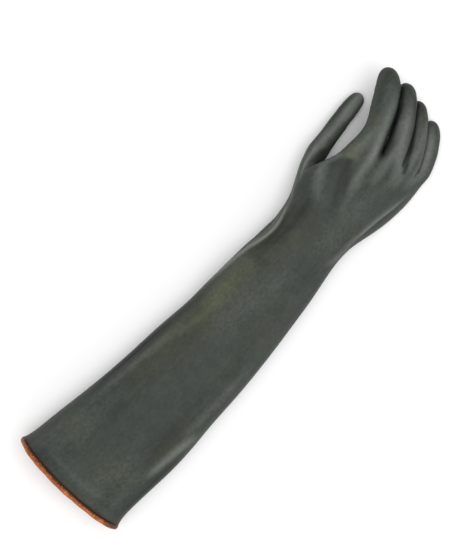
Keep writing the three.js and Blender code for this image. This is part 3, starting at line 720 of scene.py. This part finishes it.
def satin_black_rubber():
    """Dipped green-black rubber. Wide clouds turn it from greenish to bluish grey, as an uneven dip
    does, and aged patches are yellower. Mottling in two sizes and long chalky streaks give the
    dull, powdery film of powdered rubber. The stored paleness, partly that powder and mostly
    painted highlights and shade, lightens or darkens the rubber itself and, on the palest crests,
    lies on it in the chalk colour as a painted highlight. The last millimetres at the cuff are so
    thin that they turn brown over the orange, with a ragged edge. Orange peel and a grain break up
    the shine; a real grain of a few tenths of a millimetre wouldn't show, so it is drawn 0.9 mm
    wide."""
    material = bpy.data.materials.new("dipped_rubber_green_black")
    tree = fresh_tree(material)
    place = add_node(tree, "ShaderNodeTexCoord").outputs["Object"]
    cloud = add_node(tree, "ShaderNodeTexNoise", {
        "Vector": place, "Scale": 1 / (75 * MM), "Detail": 2.0, "Roughness": 0.5})
    cloud_share = add_node(tree, "ShaderNodeMapRange", {
        "Value": cloud.outputs["Fac"], "From Min": 0.38, "From Max": 0.62})
    tint = add_node(tree, "ShaderNodeMix", {
        0: cloud_share.outputs["Result"], 6: hex_colour(GREENISH), 7: hex_colour(BLUISH)},
        data_type="RGBA")
    mottle = add_node(tree, "ShaderNodeTexNoise", {
        "Vector": place, "Scale": 1 / (14 * MM), "Detail": 5.0, "Roughness": 0.62})
    mottle_share = add_node(tree, "ShaderNodeMapRange", {
        "Value": mottle.outputs["Fac"], "From Min": 0.3, "From Max": 0.7,
        "To Min": 0.88, "To Max": 1.2})
    fine_mottle = add_node(tree, "ShaderNodeTexNoise", {
        "Vector": place, "Scale": 1 / (4 * MM), "Detail": 3.0, "Roughness": 0.6})
    fine_share = add_node(tree, "ShaderNodeMapRange", {
        "Value": fine_mottle.outputs["Fac"], "From Min": 0.3, "From Max": 0.7,
        "To Min": 0.85, "To Max": 1.15})
    aged = add_node(tree, "ShaderNodeAttribute", attribute_name="yellowing").outputs["Fac"]
    yellowed = add_node(tree, "ShaderNodeMix", {
        0: aged, 6: tint.outputs[2], 7: hex_colour(YELLOWED)}, data_type="RGBA")
    # Paleness: partly powdery dust, mostly painted highlights and painted shade.
    smooth_pale = add_node(tree, "ShaderNodeAttribute", attribute_name="bloom_and_painted_light").outputs["Fac"]
    pale = add_node(tree, "ShaderNodeMath", {0: smooth_pale, 1: fine_share.outputs["Result"]},
                    operation="MULTIPLY").outputs[0]
    shown = add_node(tree, "ShaderNodeMapRange", {"Value": pale, "From Max": 1.3, "To Max": 1.3})
    paleness = add_node(tree, "ShaderNodeMath", {
        0: mottle_share.outputs["Result"], 1: shown.outputs["Result"]}, operation="MULTIPLY")
    mottled = add_node(tree, "ShaderNodeVectorMath", {
        0: yellowed.outputs[2], "Scale": paleness.outputs[0]}, operation="SCALE")
    # On the palest places the chalk colour is a painted highlight.
    chalk_coloured_highlight_share = add_node(tree, "ShaderNodeMapRange", {
        "Value": pale, "From Min": 1.15, "From Max": 3.6, "To Max": 0.78})
    chalk_coloured_highlight = add_node(tree, "ShaderNodeMix", {
        0: chalk_coloured_highlight_share.outputs["Result"], 6: mottled.outputs[0], 7: hex_colour(CHALK_AND_HIGHLIGHT)},
        data_type="RGBA")
    long_way = add_node(tree, "ShaderNodeMapping", {"Vector": place, "Scale": (0.22, 1, 1)})
    streaks = add_node(tree, "ShaderNodeTexNoise", {
        "Vector": long_way.outputs["Vector"], "Scale": 1 / (9 * MM), "Detail": 4.0,
        "Roughness": 0.65, "Distortion": 0.6})
    chalk_share = add_node(tree, "ShaderNodeMapRange", {
        "Value": streaks.outputs["Fac"], "From Min": 0.45, "From Max": 0.85, "To Max": 0.12})
    chalky = add_node(tree, "ShaderNodeMix", {
        0: chalk_share.outputs["Result"], 6: chalk_coloured_highlight.outputs[2], 7: hex_colour(CHALK_AND_HIGHLIGHT)},
        data_type="RGBA")
    thin = add_node(tree, "ShaderNodeAttribute", attribute_name="thin").outputs["Fac"]
    ragged = add_node(tree, "ShaderNodeTexNoise", {"Vector": place, "Scale": 1 / (3 * MM)})
    thin_place = add_node(tree, "ShaderNodeMath", {0: ragged.outputs["Fac"], 1: thin},
                          operation="ADD")
    thin_share = add_node(tree, "ShaderNodeMapRange", {
        "Value": thin_place.outputs[0], "From Min": 0.85, "From Max": 1.35, "To Max": 0.85})
    colour = add_node(tree, "ShaderNodeMix", {
        0: thin_share.outputs["Result"], 6: chalky.outputs[2], 7: hex_colour(STAIN_AND_SHADE_BROWN)},
        data_type="RGBA")
    roughness = add_node(tree, "ShaderNodeMapRange", {
        "Value": streaks.outputs["Fac"], "From Min": 0.3, "From Max": 0.75,
        "To Min": 0.46, "To Max": 0.56})
    grain = add_node(tree, "ShaderNodeTexNoise", {
        "Vector": place, "Scale": 1 / (0.9 * MM), "Detail": 2.0})
    relief = add_node(tree, "ShaderNodeMath", {
        0: grain.outputs["Fac"], 1: 0.35, 2: fine_mottle.outputs["Fac"]}, operation="MULTIPLY_ADD")
    bump = add_node(tree, "ShaderNodeBump", {
        "Height": relief.outputs[0], "Strength": 0.5, "Distance": 0.3 * MM})
    surface = add_node(tree, "ShaderNodeBsdfPrincipled", {
        "Base Color": colour.outputs[2], "Roughness": roughness.outputs["Result"],
        "Normal": bump.outputs["Normal"], "IOR": 1.5, "Specular IOR Level": 0.22})
    add_node(tree, "ShaderNodeOutputMaterial", {"Surface": surface.outputs["BSDF"]})
    return material


def orange_rubber():
    """Dipped orange rubber. Blotches a centimetre wide go from a lighter to a burnt orange, with
    fine specks of dirt. Where the black layer ends on it, black has crept over it and left it
    ragged brown, and the same brown also paints the shade on the bead's side towards the sleeve."""
    material = bpy.data.materials.new("dipped_rubber_orange")
    tree = fresh_tree(material)
    place = add_node(tree, "ShaderNodeTexCoord").outputs["Object"]
    blotch = add_node(tree, "ShaderNodeTexNoise", {
        "Vector": place, "Scale": 1 / (12 * MM), "Detail": 4.0, "Roughness": 0.6})
    blotch_share = add_node(tree, "ShaderNodeMapRange", {
        "Value": blotch.outputs["Fac"], "From Min": 0.32, "From Max": 0.68})
    tint = add_node(tree, "ShaderNodeMix", {
        0: blotch_share.outputs["Result"], 6: hex_colour(ORANGE), 7: hex_colour(BURNT)},
        data_type="RGBA")
    specks = add_node(tree, "ShaderNodeTexNoise", {
        "Vector": place, "Scale": 1 / (1.5 * MM), "Detail": 3.0, "Roughness": 0.7})
    speck_share = add_node(tree, "ShaderNodeMapRange", {
        "Value": specks.outputs["Fac"], "From Min": 0.58, "From Max": 0.75, "To Max": 0.5})
    dirty = add_node(tree, "ShaderNodeMix", {
        0: speck_share.outputs["Result"], 6: tint.outputs[2], 7: hex_colour(STAIN_AND_SHADE_BROWN)},
        data_type="RGBA")
    # Brown staining where the black ends, partly painted shade at the bead's foot.
    stain_and_shade = add_node(tree, "ShaderNodeAttribute", attribute_name="stain_and_shade").outputs["Fac"]
    ragged = add_node(tree, "ShaderNodeTexNoise", {"Vector": place, "Scale": 1 / (2.5 * MM)})
    crept = add_node(tree, "ShaderNodeMath", {0: ragged.outputs["Fac"], 1: stain_and_shade},
                     operation="ADD")
    stain_and_shade_share = add_node(tree, "ShaderNodeMapRange", {
        "Value": crept.outputs[0], "From Min": 0.7, "From Max": 1.15, "To Max": 0.95})
    colour = add_node(tree, "ShaderNodeMix", {
        0: stain_and_shade_share.outputs["Result"], 6: dirty.outputs[2], 7: hex_colour(STAIN_AND_SHADE_BROWN)},
        data_type="RGBA")
    roughness = add_node(tree, "ShaderNodeMapRange", {
        "Value": blotch.outputs["Fac"], "From Min": 0.3, "From Max": 0.7,
        "To Min": 0.42, "To Max": 0.58})
    bump = add_node(tree, "ShaderNodeBump", {
        "Height": specks.outputs["Fac"], "Strength": 0.3, "Distance": 0.2 * MM})
    surface = add_node(tree, "ShaderNodeBsdfPrincipled", {
        "Base Color": colour.outputs[2], "Roughness": roughness.outputs["Result"],
        "Normal": bump.outputs["Normal"], "IOR": 1.5, "Specular IOR Level": 0.3})
    add_node(tree, "ShaderNodeOutputMaterial", {"Surface": surface.outputs["BSDF"]})
    return material


def softbox(name, place, aim, size, power):
    """A square soft light at place, in metres, turned to aim."""
    lamp = bpy.data.lights.new(name, "AREA")
    lamp.size, lamp.energy = size, power
    holder = bpy.data.objects.new(name, lamp)
    bpy.context.scene.collection.objects.link(holder)
    holder.location = place
    holder.rotation_euler = (Vector(aim) - Vector(place)).to_track_quat("-Z", "Y").to_euler()


black, orange = satin_black_rubber(), orange_rubber()

shell = glove_skin(black, orange)
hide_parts("glove_shell")
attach(shell, "root")

edge = rolled_edge(orange)
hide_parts("cuff_rim")
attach(edge, "root")

# Floor, light and camera. Matt white paint gives the floor an even tone without shine.
ground = bpy.data.meshes.new("floor")
far, level = 6, -0.0004  # half its size, and a hair under the glove
ground.from_pydata([(-far, -far, level), (far, -far, level), (far, far, level), (-far, far, level)],
                   [], [(0, 1, 2, 3)])
floor = bpy.data.objects.new("floor", ground)
bpy.context.scene.collection.objects.link(floor)
floor_paint = bpy.data.materials.new("matt_white_paint")
floor_tree = fresh_tree(floor_paint)
paint = add_node(floor_tree, "ShaderNodeBsdfPrincipled", {
    "Base Color": hex_colour("#fafafa"), "Roughness": 0.95, "Specular IOR Level": 0.1})
add_node(floor_tree, "ShaderNodeOutputMaterial", {"Surface": paint.outputs["BSDF"]})
ground.materials.append(floor_paint)

world = bpy.data.worlds.new("studio")
bpy.context.scene.world = world
world.use_nodes = True
daylight = world.node_tree.nodes["Background"]
daylight.inputs["Color"].default_value = (1, 1, 1, 1)
daylight.inputs["Strength"].default_value = 0.58

softbox("overhead", (0.1, -0.2, 2.6), (0, 0, 0), 2.0, 40)
softbox("far_side", (0.2, -1.9, 0.9), (-0.1, 0, 0), 0.7, 12)
softbox("thumb_side", (-0.2, 1.9, 0.7), (0, 0, 0), 0.8, 7)

# The camera looks straight down, turned so that the sleeve lies as in the photograph.
camera = bpy.data.cameras.new("camera")
camera.sensor_width = 36
camera.angle = math.radians(23.7)
camera_holder = bpy.data.objects.new("camera", camera)
camera_holder.location = (0.00541, 0.02879, 1.55)
camera_holder.rotation_euler = (0, 0, math.radians(-46))
bpy.context.scene.collection.objects.link(camera_holder)
bpy.context.scene.camera = camera_holder

bpy.context.scene.view_settings.view_transform = "Standard"
